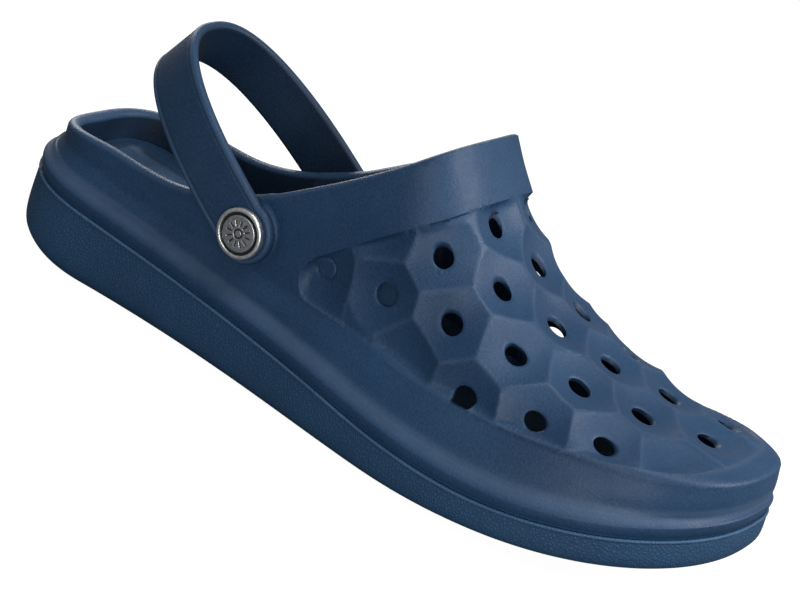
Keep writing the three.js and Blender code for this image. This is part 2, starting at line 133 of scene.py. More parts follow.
def smooth(t):
    t = np.clip(t, 0, 1)
    return t * t * (3 - 2 * t)


def ground_z(x):
    heel = np.maximum(0, (FLAT_FROM - x) / FLAT_FROM)
    toe = np.maximum(0, (x - FLAT_TO) / (LENGTH - FLAT_TO))
    return HEEL_LIFT * heel ** 2 + TOE_SPRING * toe ** 2


def side_width(x, toe_half, waist):
    s = (x - HEEL_X) / (TOE_X - HEEL_X)
    return HEEL_HALF + (toe_half - HEEL_HALF) * s * s * (3 - 2 * s) - waist * np.sin(np.pi * s) ** 2


def spine_y(x):
    x = np.clip(x, HEEL_X, TOE_X)
    return (side_width(x, TOE_MEDIAL, WAIST_MEDIAL) - side_width(x, TOE_LATERAL, WAIST_LATERAL)) / 2


def ribs(x, y):
    """The rib through each plan point: its outer end, its foot on the spine, and the distance along it."""
    foot_x = np.clip(x, HEEL_X, TOE_X)
    foot_y = spine_y(foot_x)
    dx, dy = x - foot_x, y - foot_y
    away = np.hypot(dx, dy)
    safe = np.maximum(away, 1e-9)
    ux = np.where(away > 1e-9, dx / safe, np.sign(x - (HEEL_X + TOE_X) / 2) * (foot_x != x) + 0.0)
    uy = np.where(away > 1e-9, dy / safe, 1.0)
    side = np.where(uy < 0, side_width(foot_x, TOE_LATERAL, WAIST_LATERAL) + foot_y,
                    side_width(foot_x, TOE_MEDIAL, WAIST_MEDIAL) - foot_y)
    heel = (np.abs(ux) / HEEL_X) ** HEEL_POWER + (np.abs(uy) / HEEL_HALF) ** HEEL_POWER
    heel = heel ** (-1 / HEEL_POWER)
    p = TOE_POWER
    near, far = np.zeros_like(away), np.full_like(away, LENGTH)
    for _ in range(34):
        r = (near + far) / 2
        v = foot_y + uy * r - TOE_TIP_Y
        half = np.where(v < 0, TOE_LATERAL + TOE_TIP_Y, TOE_MEDIAL - TOE_TIP_Y)
        inside = (np.abs(ux) * r / (LENGTH - TOE_X)) ** p + np.abs(v / half) ** p < 1
        near, far = np.where(inside, r, near), np.where(inside, far, r)
    reach = np.where(x > TOE_X, near, np.where(x < HEEL_X, heel, side))
    return foot_x + ux * reach, foot_y + uy * reach, foot_x, foot_y, away


def edge_samples(count):
    """Evenly spaced outline points, from the heel tip along the lateral side, and their spine points."""
    def bend(v, power):
        return np.abs(v) ** (2 / power)
    a = np.linspace(0, np.pi / 2, 200)
    heel = np.c_[HEEL_X * (1 - bend(np.cos(a), HEEL_POWER)), HEEL_HALF * bend(np.sin(a), HEEL_POWER)]
    x = np.linspace(HEEL_X, TOE_X, 200)[1:-1]
    lateral = np.c_[x, -side_width(x, TOE_LATERAL, WAIST_LATERAL)]
    medial = np.c_[x, side_width(x, TOE_MEDIAL, WAIST_MEDIAL)][::-1]
    a = np.linspace(-np.pi / 2, np.pi / 2, 400)
    half = np.where(a < 0, TOE_LATERAL + TOE_TIP_Y, TOE_MEDIAL - TOE_TIP_Y)
    toe = np.c_[TOE_X + (LENGTH - TOE_X) * bend(np.cos(a), TOE_POWER),
                TOE_TIP_Y + np.sign(a) * half * bend(np.sin(a), TOE_POWER)]
    line = resample(np.vstack([heel * [1, -1], lateral, toe, medial, heel[::-1][:-1]]), count)
    return line, np.c_[np.clip(line[:, 0], HEEL_X, TOE_X), spine_y(line[:, 0])]


def resample(line, count, closed=True):
    points = np.vstack([line, line[:1]]) if closed else line
    run = np.r_[0, np.cumsum(np.hypot(*np.diff(points, axis=0).T))]
    s = np.linspace(0, run[-1], count, endpoint=not closed)
    return np.c_[np.interp(s, run, points[:, 0]), np.interp(s, run, points[:, 1])]


# ------------------------------------------------------------------ the domed upper
# A point of the dome is named by its unrolled position: on its rib, at the distance that a tape laid
# over the upper measures from the crown. Angle 90 degrees is the crown and 0 the valley.
ANGLES = np.pi / 2 * (1 - np.linspace(0, 1, 56) ** 1.55)


def dome_point(rib, angle, inset=0.0, drop=0.0):
    ex, ey, qx, qy = rib[:4]
    dx, dy = ex - qx, ey - qy
    k = 1 - (valley_inset(ex) + inset) / np.hypot(dx, dy)
    base = seam_z(ex - dx * (1 - k)) + valley_rise(ex)
    out = np.maximum(np.cos(angle), 0) ** (2 / SIDE_POWER)
    x = qx + dx * k * out
    z = base + (crown_z(x) - drop - base) * np.maximum(np.sin(angle), 0) ** (2 / TOP_POWER)
    return np.stack([x, qy + dy * k * out, z], axis=-1)


def dome_arcs(rib):
    points = dome_point([v[:, None] for v in rib[:4]], ANGLES[None])
    steps = np.linalg.norm(np.diff(points, axis=1), axis=2)
    return np.c_[np.zeros(len(steps)), np.cumsum(steps, axis=1)]


def dome_angle(rib, arcs, distance):
    j = np.clip((arcs < distance[:, None]).sum(1) - 1, 0, arcs.shape[1] - 2)
    row = np.arange(len(j))
    t = np.clip((distance - arcs[row, j]) / (arcs[row, j + 1] - arcs[row, j]), 0, 1)
    return ANGLES[j] + (ANGLES[j + 1] - ANGLES[j]) * t


def dome(flat, inset=0.0, drop=0.0):
    """Points of the dome for unrolled points flat (n, 2)."""
    rib = ribs(flat[:, 0], flat[:, 1])
    return dome_point(rib, dome_angle(rib, dome_arcs(rib), rib[4]), inset, drop)


def unroll(x, y):
    """Unrolled position of the dome's point over plan position (x, y)."""
    rib = ribs(x, y)
    ex, ey, qx, qy, away = rib
    full = np.hypot(ex - qx, ey - qy)
    share = np.clip(away / (full - valley_inset(ex)), 0, 1)
    angle = np.arccos(np.clip(share ** (SIDE_POWER / 2), 0, 1))
    arcs = dome_arcs(rib)
    distance = np.array([np.interp(-a, -ANGLES, row) for a, row in zip(angle, arcs)])
    safe = np.maximum(away, 1e-9)
    return np.c_[qx + (x - qx) / safe * distance, qy + (y - qy) / safe * distance]


def plan_height(x, y):
    ex, ey, qx, qy, away = ribs(x, y)
    full = np.hypot(ex - qx, ey - qy)
    valley = full - valley_inset(ex)
    base = seam_z(qx + (ex - qx) * valley / full) + valley_rise(ex)
    up = np.maximum(0, 1 - (away / valley) ** SIDE_POWER) ** (1 / TOP_POWER)
    return base + (crown_z(x) - base) * up


def on_vamp(plan):
    """Points of the dome over plan points."""
    x, y = np.array(plan, float).T
    return np.c_[x, y, plan_height(x, y)]


# ------------------------------------------------------------------ mesh helpers
def to_frame(points):
    return (np.asarray(points) - [MIDDLE[0], MIDDLE[1], 0]) * 0.001


def make_piece(name, points, faces, body, node, material, sharp=50, paint=None):
    """A mesh piece, in last coordinates, that rides on a body and stands for a CAD node."""
    mesh = bpy.data.meshes.new(name)
    mesh.from_pydata(to_frame(points).tolist(), [], [[int(i) for i in f] for f in faces])
    mesh.update()
    mesh.shade_smooth()
    mesh.set_sharp_from_angle(angle=math.radians(sharp))
    if paint is not None:
        layer = mesh.attributes.new("paint", "FLOAT", "POINT")
        layer.data.foreach_set("value", np.asarray(paint, np.float32))
    mesh.materials.append(material)
    piece = bpy.data.objects.new(name, mesh)
    bpy.context.scene.collection.objects.link(piece)
    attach(piece, body)
    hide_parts(node)
    return piece


def strip(lower, upper, closed=True):
    """Quads between two rows of vertex numbers of the same length."""
    n = len(lower)
    steps = range(n if closed else n - 1)
    return [(lower[i], lower[(i + 1) % n], upper[(i + 1) % n], upper[i]) for i in steps]


def in_loop(points, loop):
    """Which points lie inside a closed polygon."""
    inside = np.zeros(len(points), bool)
    x, y = points.T
    for (x0, y0), (x1, y1) in zip(loop, np.roll(loop, -1, axis=0)):
        if y0 != y1:
            inside ^= ((y0 > y) != (y1 > y)) & (x < (x1 - x0) * (y - y0) / (y1 - y0) + x0)
    return inside


def loop_distance(points, loop):
    """Distance to a closed polygon, negative inside."""
    best = np.full(len(points), np.inf)
    for a, b in zip(loop, np.roll(loop, -1, axis=0)):
        ab = b - a
        t = np.clip(((points - a) @ ab) / max(ab @ ab, 1e-12), 0, 1)
        best = np.minimum(best, np.hypot(*(points - a - t[:, None] * ab).T))
    return np.where(in_loop(points, loop), -best, best)


def hex_grid(low, high, step):
    rows = np.arange(low[1], high[1], step * math.sqrt(3) / 2)
    columns = np.arange(low[0], high[0], step)
    return np.vstack([np.c_[columns + (i % 2) * step / 2, np.full(len(columns), y)]
                      for i, y in enumerate(rows)])


def thinned(locked, points, gap):
    """The points in order, without those closer than gap to a locked point or to one already kept."""
    cells, kept = {}, []

    def near(p):
        i, j = int(p[0] // gap), int(p[1] // gap)
        return any(math.dist(p, q) < gap for a in (i - 1, i, i + 1) for b in (j - 1, j, j + 1)
                   for q in cells.get((a, b), ()))
    for p in locked.tolist():
        cells.setdefault((int(p[0] // gap), int(p[1] // gap)), []).append(p)
    for p in points.tolist():
        if not near(p):
            cells.setdefault((int(p[0] // gap), int(p[1] // gap)), []).append(p)
            kept.append(p)
    return np.array(kept)


def triangulate(border, holes, loose):
    """Triangles between a border and the holes in it: points, triangles, and each loop's numbers."""
    loops = [border, *holes]
    points = np.vstack([*loops, loose])
    edges, spans, start = [], [], 0
    for loop in loops:
        span = np.arange(start, start + len(loop))
        edges += list(zip(span.tolist(), np.roll(span, -1).tolist()))
        spans.append(span)
        start += len(loop)
    out = delaunay_2d_cdt(points.tolist(), edges, [], 0, 1e-7, True)
    flat = np.array([v[:] for v in out[0]])
    number = {old: new for new, olds in enumerate(out[3]) for old in olds}
    spans = [np.array([number[i] for i in span]) for span in spans]
    triangles = np.array([f for f in out[2] if len(f) == 3])
    middle = flat[triangles].mean(1)
    use = in_loop(middle, border)
    for hole in holes:
        use &= ~in_loop(middle, hole)
    triangles = triangles[use]
    ab, ac = (flat[triangles[:, i]] - flat[triangles[:, 0]] for i in (1, 2))
    flip = ab[:, 0] * ac[:, 1] < ab[:, 1] * ac[:, 0]
    triangles[flip] = triangles[flip][:, ::-1]
    return flat, triangles, spans


def mesh_normals(points, triangles):
    a, b, c = (points[triangles[:, i]] for i in range(3))
    face = np.cross(b - a, c - a)
    out = np.zeros_like(points)
    for i in range(3):
        np.add.at(out, triangles[:, i], face)
    return out / np.maximum(np.linalg.norm(out, axis=1), 1e-9)[:, None]


def smooth_line(points, per_side=8):
    """Points on a smooth curve through the given ones; they may be arrays of points."""
    p = np.array(points, float)
    ends = np.concatenate([2 * p[:1] - p[1:2], p, 2 * p[-1:] - p[-2:-1]])
    line = []
    for a, b, c, d in zip(ends, ends[1:], ends[2:], ends[3:]):
        for t in np.arange(per_side) / per_side:
            line.append(0.5 * (2 * b + (c - a) * t + (2 * a - 5 * b + 4 * c - d) * t ** 2
                               + (3 * b - 3 * c + d - a) * t ** 3))
    return np.array([*line, p[-1]])


def nearest_two(points, sites):
    """Distances to the nearest and second nearest site, and which two they are."""
    tree = KDTree(len(sites))
    for i, site in enumerate(sites):
        tree.insert(site, i)
    tree.balance()
    found = [tree.find_n(p, 2) for p in points]
    return (np.array([f[0][2] for f in found]), np.array([f[1][2] for f in found]),
            np.array([[f[0][1], f[1][1]] for f in found]))


# ------------------------------------------------------------------ the upper
EDGE_COUNT = 760          # points round the outline
RIM_COUNT = 330           # points round the foot opening
LIP_LOW = 2.0             # the rim's rounded lip starts this far under its top
GRID = 0.95
PANEL_STEP = 0.5          # width of the step down into the panel
EDGE_EASE = 2.5           # the dimples get shallow this near to the panel's edge
VENT_LIP = 0.35           # how far the mouth of a vent is eased down
SOCKET_DEPTH = 1.4        # of the closed sockets
POCKET = 0.6              # share of the wall taken away from inside round each vent
SMALL_R = 3.75            # radius of the shallow rings
HIGHLIGHT_RISE = 7.6           # height over the seam of the middle of the painted highlight on the bumper's sloping top face


def panel_outline():
    """The recessed panel seen from the side, as an (x, z) polygon."""
    x = np.linspace(130, 283, 60)
    return np.vstack([np.c_[x, panel_low(x)], [[284, 60], [284, 122]], smooth_line(PANEL_TOP + PANEL_REAR)])


def rim_loop():
    """Where the dome comes down to the lip of the foot opening, as unrolled points."""
    centre = np.array([92.0, -2.0])
    a = np.linspace(0, 2 * np.pi, 260, endpoint=False)
    way = np.c_[np.cos(a), np.sin(a)]

    def low(reach):
        p = dome(centre + way * reach[:, None])
        return p[:, 2] < rim_z(p[:, 0]) - LIP_LOW
    near, far, found = np.zeros(len(a)), np.zeros(len(a)), np.zeros(len(a), bool)
    steps = np.linspace(15, 330, 240)
    for r0, r1 in zip(steps, steps[1:]):
        hit = ~found & low(np.full(len(a), r1))
        near[hit], far[hit] = r0, r1
        found |= hit
    for _ in range(12):
        middle = (near + far) / 2
        down = low(middle)
        near, far = np.where(down, near, middle), np.where(down, middle, far)
    flat = resample(centre + way * far[:, None], 1500)
    run = np.r_[0, np.cumsum(np.linalg.norm(np.diff(dome(np.vstack([flat, flat[:1]])), axis=0), axis=1))]
    s = np.arange(RIM_COUNT) * run[-1] / RIM_COUNT
    flat = np.vstack([flat, flat[:1]])

    def over(points):
        p = dome(points)
        return p[:, 2] - rim_z(p[:, 0]) + LIP_LOW
    return snapped(np.c_[np.interp(s, run, flat[:, 0]), np.interp(s, run, flat[:, 1])], over)


def circle_on_dome(centre, radius, count=36):
    """A round loop on the dome, as unrolled points."""
    h = 0.5
    du = (dome(centre[None] + [h, 0]) - dome(centre[None] - [h, 0]))[0] / (2 * h)
    dv = (dome(centre[None] + [0, h]) - dome(centre[None] - [0, h]))[0] / (2 * h)
    size, axes = np.linalg.eigh([[du @ du, du @ dv], [du @ dv, dv @ dv]])
    a = np.linspace(0, 2 * np.pi, count, endpoint=False)
    return centre + radius * np.c_[np.cos(a), np.sin(a)] @ (axes / np.sqrt(size) @ axes.T)


def snapped(flat, field, level=0.0):
    """Moves unrolled points onto the contour of a field that they are near to."""
    for _ in range(2):
        value = field(flat)
        slope = np.c_[field(flat + [0.15, 0]) - value, field(flat + [0, 0.15]) - value] / 0.15
        move = ((value - level) / np.maximum((slope ** 2).sum(1), 0.05))[:, None] * slope
        flat = flat - move * np.minimum(1, 0.8 / np.maximum(np.hypot(*move.T), 1e-9))[:, None]
    return flat


def upper_points(border, rim, holes, rings, outline, cells):
    """Loose points of the upper: rows along the panel's edge and the ridges, and a grid between."""
    grid = hex_grid(border.min(0), border.max(0), GRID)
    grid = grid[in_loop(grid, border) & ~in_loop(grid, rim)]
    at = dome(grid)
    edge = loop_distance(at[:, [0, 2]], outline)
    first, second, _ = nearest_two(at, cells)
    spread = np.array([[0, 0], [0.45, 0.05], [-0.4, 0.1], [0.1, 0.45], [-0.1, -0.45]])
    beside_edge = (grid[np.abs(edge + 0.4) < 1.4][:, None] + spread).reshape(-1, 2)
    beside_ridge = (grid[(second - first < 1.6) & (edge < 0)][:, None] + spread).reshape(-1, 2)
    pairs = np.sort(nearest_two(dome(beside_ridge), cells)[2], axis=1)

    def edge_field(flat):
        return loop_distance(dome(flat)[:, [0, 2]], outline)

    def ridge_field(flat):
        p = dome(flat)
        one, other = (np.linalg.norm(p - cells[pairs[:, k]], axis=1) for k in (0, 1))
        return one - other
    rows = [snapped(beside_edge, edge_field, level) for level in (0.1, -PANEL_STEP, -PANEL_STEP / 2)]
    loose = np.vstack([*rings, *rows, snapped(beside_ridge, ridge_field), grid])
    loose = loose[in_loop(loose, border) & ~in_loop(loose, rim)]
    locked = np.vstack([resample(border, 3 * len(border)), resample(rim, 3 * len(rim)),
                        *[resample(hole, 72) for hole in holes]])
    loose = thinned(locked, loose, 0.4)
    for hole in holes:
        loose = loose[~in_loop(loose, hole)]
    return loose


def relief(points, outline, cells, sockets, small):
    """How deep each point of the upper is sunk, and how much paler its ridges and panel edges are painted
    (partly rubbed wear, partly painted highlight), with a painted shadow line along the panel's upper edge.
    """
    edge = loop_distance(points[:, [0, 2]], outline)
    inside = smooth(-edge / PANEL_STEP)
    first, second, _ = nearest_two(points, cells)
    dish = DIMPLE_DEPTH * np.maximum(0, 1 - (first / DIMPLE_R) ** 2)
    hole = nearest_two(points, sockets)[0] - VENT_R
    sink = 0.5 * np.exp(-((nearest_two(points, small)[0] - SMALL_R) / 0.35) ** 2)
    lip = VENT_LIP * np.clip(1 - np.abs(hole) / 0.8, 0, 1) ** 2
    # The ridges are painted paler: partly rubbed wear, partly painted highlight.
    ridge = np.exp(-((second - first) / 1.3) ** 2) * inside
    rim = np.exp(-((edge + 0.1) / 0.4) ** 2)
    # Along the panel's edge: a painted highlight on its lower edge and a painted shadow line under the
    # collar along its upper edge.
    edge_light_and_shadow = 0.5 * smooth((52 - points[:, 2]) / 8) - 0.15 * smooth((points[:, 2] - 56) / 8)
    dish *= 0.45 + 0.55 * smooth(-edge / EDGE_EASE)
    return inside * (PANEL_DEPTH + dish) + lip + sink, np.clip(0.32 * ridge, 0, 1) + rim * edge_light_and_shadow


def bumper_painted_highlight(points):
    """A painted highlight: the bumper's sloping top face is painted lighter all round."""
    return 0.62 * np.exp(-((points[:, 2] - seam_z(points[:, 0]) - HIGHLIGHT_RISE) / 2.3) ** 4)


def on_pads(points, depth):
    """Flattens both sides round the strap's pivot, to the pads or to their backs."""
    away = np.hypot(points[:, 0] - PIVOT_X, points[:, 2] - PIVOT_Z)
    side = np.where(points[:, 1] < 0, PAD_LATERAL + depth, PAD_MEDIAL - depth)
    move = side - points[:, 1]
    proud = np.sign(points[:, 1]) * move < 0
    share = np.where(proud, smooth((PAD_D / 2 + 2 - away) / 2), smooth((PAD_D / 2 - 0.5 - away) / 2))
    below_rim = smooth((rim_z(points[:, 0]) - points[:, 2] - 1) / 4)
    share = np.where((depth > 0) | ~proud, share * below_rim, share)
    out = points.copy()
    out[:, 1] += move * share
    return out


def rim_rows(outer, inner, count=9):
    """Rows that round the rim over from its outer to its inner edge."""
    along = np.roll(outer, -1, axis=0) - np.roll(outer, 1, axis=0)
    half = (outer - inner) / 2
    up = np.cross(along, half)
    up *= (np.sign(up[:, 2]) / np.linalg.norm(up, axis=1) * np.linalg.norm(half, axis=1))[:, None]
    a = np.linspace(0, np.pi, count + 2)[1:-1]
    bend = 2 / 2.5
    return [(outer + inner) / 2 + half * math.copysign(abs(math.cos(t)) ** bend, math.cos(t))
            + up * 0.92 * math.sin(t) ** bend for t in a]


def inward(line, spine, inset):
    """Plan points moved in from the outline by inset, in mm."""
    away = line - spine
    return line - away * (inset / np.hypot(*away.T))[:, None]


def ring_at(line, spine, inset, z):
    plan = inward(line, spine, np.broadcast_to(inset, len(line)))
    return np.c_[plan, z(plan[:, 0]) if callable(z) else z]


# Inset from the outline and rise over the seam, from the groove above the sole to the bumper.
UPPER_FOOT = [[1.35, 0.15], [1.25, 0.8], [0.9, 1.5], [0.55, 2.8], [0.5, 4.3], [0.95, 5.1],
              [2.7, 7.2], [4.3, 9.2]]


def foot_rows(line, spine):
    """Rows of the upper under the dome, from the valley down over the bumper to the sole."""
    vi, vr = valley_inset(line[:, 0]), valley_rise(line[:, 0])
    knots = [ring_at(line, spine, vi, lambda x: seam_z(x) + vr + 3),
             ring_at(line, spine, vi, lambda x: seam_z(x) + vr),
             ring_at(line, spine, 0.72 * vi, lambda x: seam_z(x) + 0.72 * vr)]
    for inset, rise in reversed(UPPER_FOOT):
        inset = np.minimum(inset, np.maximum(0.6 * vi, 0.6))
        knots.append(ring_at(line, spine, inset, lambda x, rise=rise: seam_z(x) + rise))
    return smooth_line(knots, 5)[6:]


def make_upper(material):
    outline = panel_outline()
    vents, blind, small = on_vamp(VENTS), on_vamp(BLIND), on_vamp(SMALL)
    sockets = np.vstack([vents, blind])
    cells = np.vstack([sockets, on_vamp(CELLS)])

    line, spine = edge_samples(EDGE_COUNT)
    rib = (*line.T, *spine.T)
    away = line - spine
    border = spine + away / np.hypot(*away.T)[:, None] * dome_arcs(rib)[:, -1:]
    rim = rim_loop()
    holes = [circle_on_dome(c, VENT_R) for c in unroll(*sockets[:, :2].T)]
    rings = [circle_on_dome(c, VENT_R + r) for c in unroll(*sockets[:, :2].T) for r in (0.42, 0.9, 1.5)]
    rings += [circle_on_dome(c, SMALL_R + r) for c in unroll(*small[:, :2].T)
              for r in (0.8, 0.4, 0, -0.4, -0.8)]
    loose = upper_points(border, rim, holes, rings, outline, cells)
    flat, triangles, spans = triangulate(border, [rim, *holes], loose)

    outer = dome(flat)
    normal = mesh_normals(outer, triangles)
    depth, painted_light_and_wear = relief(outer, outline, cells, sockets, small)
    thin = POCKET * smooth((VENT_R + 5 - nearest_two(outer, vents)[0]) / 5)
    outer = outer - normal * depth[:, None]
    inner = dome(flat, WALL, 1.15 * WALL) - normal * 0.7 * np.minimum(depth, 4)[:, None]
    inner += (outer - inner) * thin[:, None]
    outer, inner = on_pads(outer, 0), on_pads(inner, PAD_THICK)
    n = len(flat)
    faces = [*triangles, *(triangles[:, ::-1] + n)]
    for span in spans[2:2 + len(vents)]:
        faces += strip(span, span + n)
    # The inside of the upper is painted shade, and the vent walls darken into it from their mouths.
    points, paint = [outer, inner], [painted_light_and_wear, np.full(n, -1.0)]
    for span in spans[2 + len(vents):]:
        floor = outer[span] - normal[span].mean(0) * SOCKET_DEPTH
        first = sum(map(len, points))
        row = np.arange(first, first + len(span))
        points.append(np.vstack([floor, floor.mean(0), inner[span].mean(0)]))
        # the floors of the closed sockets are painted shade
        paint.append(np.full(len(span) + 2, -0.45))
        faces += strip(span, row)
        faces += [(first + len(span), a, b) for a, b in zip(row, np.roll(row, -1))]
        faces += [(first + len(span) + 1, b + n, a + n) for a, b in zip(span, np.roll(span, -1))]
    rows = [spans[1]]
    for row in rim_rows(outer[spans[1]], inner[spans[1]]):
        rows.append(np.arange(len(row)) + sum(map(len, points)))
        points.append(row)
        # the rounded lip of the foot opening is painted paler: partly rubbed wear, partly painted highlight
        paint.append(np.full(len(row), 0.35))
    rows.append(spans[1] + n)
    for a, b in zip(rows, rows[1:]):
        faces += strip(a, b)
    vi = valley_inset(line[:, 0])
    under = [ring_at(line, spine, vi + WALL, lambda x: seam_z(x) + 0.15)]
    rows = [spans[0]]
    for row in [*foot_rows(line, spine), *under]:
        rows.append(np.arange(len(row)) + sum(map(len, points)))
        points.append(row)
        # the bumper's top face gets its painted highlight
        paint.append(bumper_painted_highlight(row))
    rows.append(spans[0] + n)
    for a, b in zip(rows, rows[1:]):
        faces += strip(b, a)
    return make_piece("upper", np.vstack(points), faces, "clog", "upper_shell", material,
                      paint=np.concatenate(paint))


# ------------------------------------------------------------------ the sole
# Inset and share of the way from the ground to the seam, up the side of the sole, and then inset
# and drop below the seam for the bead along its top edge.
SOLE_WALL = [[7, 0], [4.6, 0.01], [2.4, 0.08], [0.6, 0.2], [0.05, 0.42], [0.2, 0.7], [0.35, 0.84]]
SOLE_BEAD = [[0.55, 1.4], [0.5, 1.15], [0.2, 0.9], [0.2, 0.5], [0.45, 0.2], [1.1, 0.05], [3, 0.15],
             [14, 0.3]]
TREAD_EDGE = 9.0


def make_sole(material):
    line, spine = edge_samples(EDGE_COUNT)
    ground = ground_z(line[:, 0])
    knots = [ring_at(line, spine, inset, lambda x, s=share: ground + (seam_z(x) - ground) * s)
             for inset, share in SOLE_WALL]
    rows = list(smooth_line(knots, 4))
    first_bead = len(rows)
    for inset, drop in SOLE_BEAD:
        rows.append(ring_at(line, spine, inset, lambda x, d=drop: seam_z(x) - d))
    border = inward(line, spine, np.full(len(line), 7.0))
    grooves = np.arange(TREAD_STEP, LENGTH - TREAD_STEP, TREAD_STEP) + TREAD_WIDTH
    columns = [g + d for g in grooves for d in (-2.3, -1.9, 1.9, 2.3)]
    y = np.arange(-60, 60, 1.6)
    grid = np.array([[c, v] for c in columns for v in y])
    plain = hex_grid(border.min(0), border.max(0), 2.4)
    both = np.vstack([grid, plain])
    away = loop_distance(both, border[::4])
    loose = thinned(resample(border, 1500), both[away < -0.4], 0.35)
    flat, triangles, spans = triangulate(border, [], loose)
    edge = -loop_distance(flat, border[::2])
    across = np.abs(flat[:, :1] - grooves).min(1)
    sunk = smooth((2.3 - across) / 0.4) * smooth((edge - (TREAD_EDGE - 7)) / 0.8)
    points, paint = [np.c_[flat, ground_z(flat[:, 0]) + TREAD_DEPTH * sunk]], [np.zeros(len(flat))]
    faces = list(triangles[:, ::-1])
    numbers = [spans[0]]
    for i, row in enumerate(rows[1:], 1):
        numbers.append(np.arange(len(row)) + sum(map(len, points)))
        points.append(row)
        # the top rows of the bead are painted paler as a highlight
        paint.append(np.full(len(row), 1.0 if first_bead + 2 <= i <= first_bead + 4 else 0.0))
    for a, b in zip(numbers, numbers[1:]):
        faces += strip(a, b)
    faces.append(list(numbers[-1]))
    points = np.vstack(points)
    points[:len(flat)][spans[0]] = rows[0]
    return make_piece("sole", points, faces, "clog", "outsole", material,
                      paint=np.concatenate(paint))


# ------------------------------------------------------------------ the footbed
HEEL_PANEL = [18.0, 72.0, 14.0]        # from x, to x, half its width
PANEL_CORNER = 5.0


def heel_panel_distance(flat):
    """Distance to the rounded panel sunk in the heel of the footbed, negative inside."""
    x0, x1, half = HEEL_PANEL
    dx = np.abs(flat[:, 0] - (x0 + x1) / 2) - (x1 - x0) / 2 + PANEL_CORNER
    dy = np.abs(flat[:, 1] - spine_y(flat[:, 0])) - half + PANEL_CORNER
    return np.hypot(np.maximum(dx, 0), np.maximum(dy, 0)) + np.minimum(np.maximum(dx, dy), 0) - PANEL_CORNER


def make_footbed(material):
    line, spine = edge_samples(500)
    border = inward(line, spine, valley_inset(line[:, 0]) + WALL + GAP)
    loose = hex_grid(border.min(0), border.max(0), 1.3)
    loose = loose[in_loop(loose, border)]
    fine = hex_grid([HEEL_PANEL[0] - 4, -22], [HEEL_PANEL[1] + 4, 22], 0.5)
    fine = fine[np.abs(heel_panel_distance(fine)) < 1.3]
    loose = thinned(resample(border, 1500), np.vstack([fine, loose]), 0.4)
    flat, triangles, spans = triangulate(border, [], loose)
    edge = -loop_distance(flat, border[::2])
    cup = 1.5 * (1 - smooth(edge / 2)) + 2.3 * smooth((edge - 1) / 16)
    panel = heel_panel_distance(flat)
    sunk = 0.9 * smooth((0.7 - panel) / 1.4) - 0.35 * np.exp(-((panel - 1.3) / 0.8) ** 2)
    z = footbed_z(flat[:, 0]) - cup - sunk
    n = len(flat)
    under = np.c_[border, seam_z(border[:, 0]) + GAP]
    points = np.vstack([np.c_[flat, z], under])
    rows = [np.arange(n, n + len(border)), spans[0]]
    faces = [*triangles, *strip(*rows), list(rows[0][::-1])]
    # The sunk heel panel is painted paler, with painted shade in a line round its edge; the forefoot under
    # the vamp is painted shade.
    heel_panel_paint = 1.2 * smooth((0.6 - panel) / 0.8) - 0.4 * np.exp(-((panel - 0.2) / 0.7) ** 2)
    paint = np.r_[heel_panel_paint - 0.7 * smooth((flat[:, 0] - 120) / 40), np.zeros(len(border))]
    return make_piece("insole", points, faces, "clog", "footbed", material, paint=paint)


# ------------------------------------------------------------------ the strap
LOBE_OFF = GAP + STRAP_T / 2
STRAP_LOW, STRAP_HIGH = PAD_LATERAL - LOBE_OFF, PAD_MEDIAL + LOBE_OFF
STRAP_ROUND = 1.5
SHANK_HOLE = SHANK_D + 2 * GAP


def strap_path():
    """The middle line of the strap, from rivet to rivet: run, and the line's distance back and y."""
    a = np.linspace(-np.pi / 2, np.pi / 2, 4001)
    bend = lambda v: np.sign(v) * np.abs(v) ** (2 / STRAP_POWER)
    half = (STRAP_HIGH - STRAP_LOW) / 2
    middle = (STRAP_HIGH + STRAP_LOW) / 2
    line = np.c_[STRAP_REACH * np.abs(bend(np.cos(a))), middle + half * bend(np.sin(a))]
    line = resample(line, 700, closed=False)
    line[0, 1], line[-1, 1] = STRAP_LOW, STRAP_HIGH
    run = np.r_[0, np.cumsum(np.hypot(*np.diff(line, axis=0).T))]
    return run, line


def along_strap(run, line, s):
    """Position and outward normal at run s; the ends go on straight past the rivets."""
    h = 0.6

    def at(v):
        inner = np.clip(v, 0, run[-1])
        beyond = -np.abs(v - inner)
        return np.c_[np.interp(inner, run, line[:, 0]) + beyond, np.interp(inner, run, line[:, 1])]
    along = at(s + h) - at(s - h)
    along /= np.hypot(*along.T)[:, None]
    return at(s), np.c_[along[:, 1], -along[:, 0]]


def strap_outline(length):
    """The flat strap: a band with a round lobe at each end."""
    lobe, half, join, straight = LOBE_D / 2, STRAP_W / 2, math.radians(72), 14.0
    arc = np.linspace(join, 2 * math.pi - join, 80)
    lobe_line = lobe * np.c_[np.cos(arc), np.sin(arc)]
    x, v = lobe_line[-1]
    ease = np.linspace(0, 1, 12)[1:]
    low = np.c_[x + (straight - x) * ease, v + (-half - v) * smooth(ease)]
    left = np.vstack([(low * [1, -1])[::-1], lobe_line, low])
    return resample(np.vstack([left, np.c_[length - left[::-1, 0], left[::-1, 1]]]), 960)


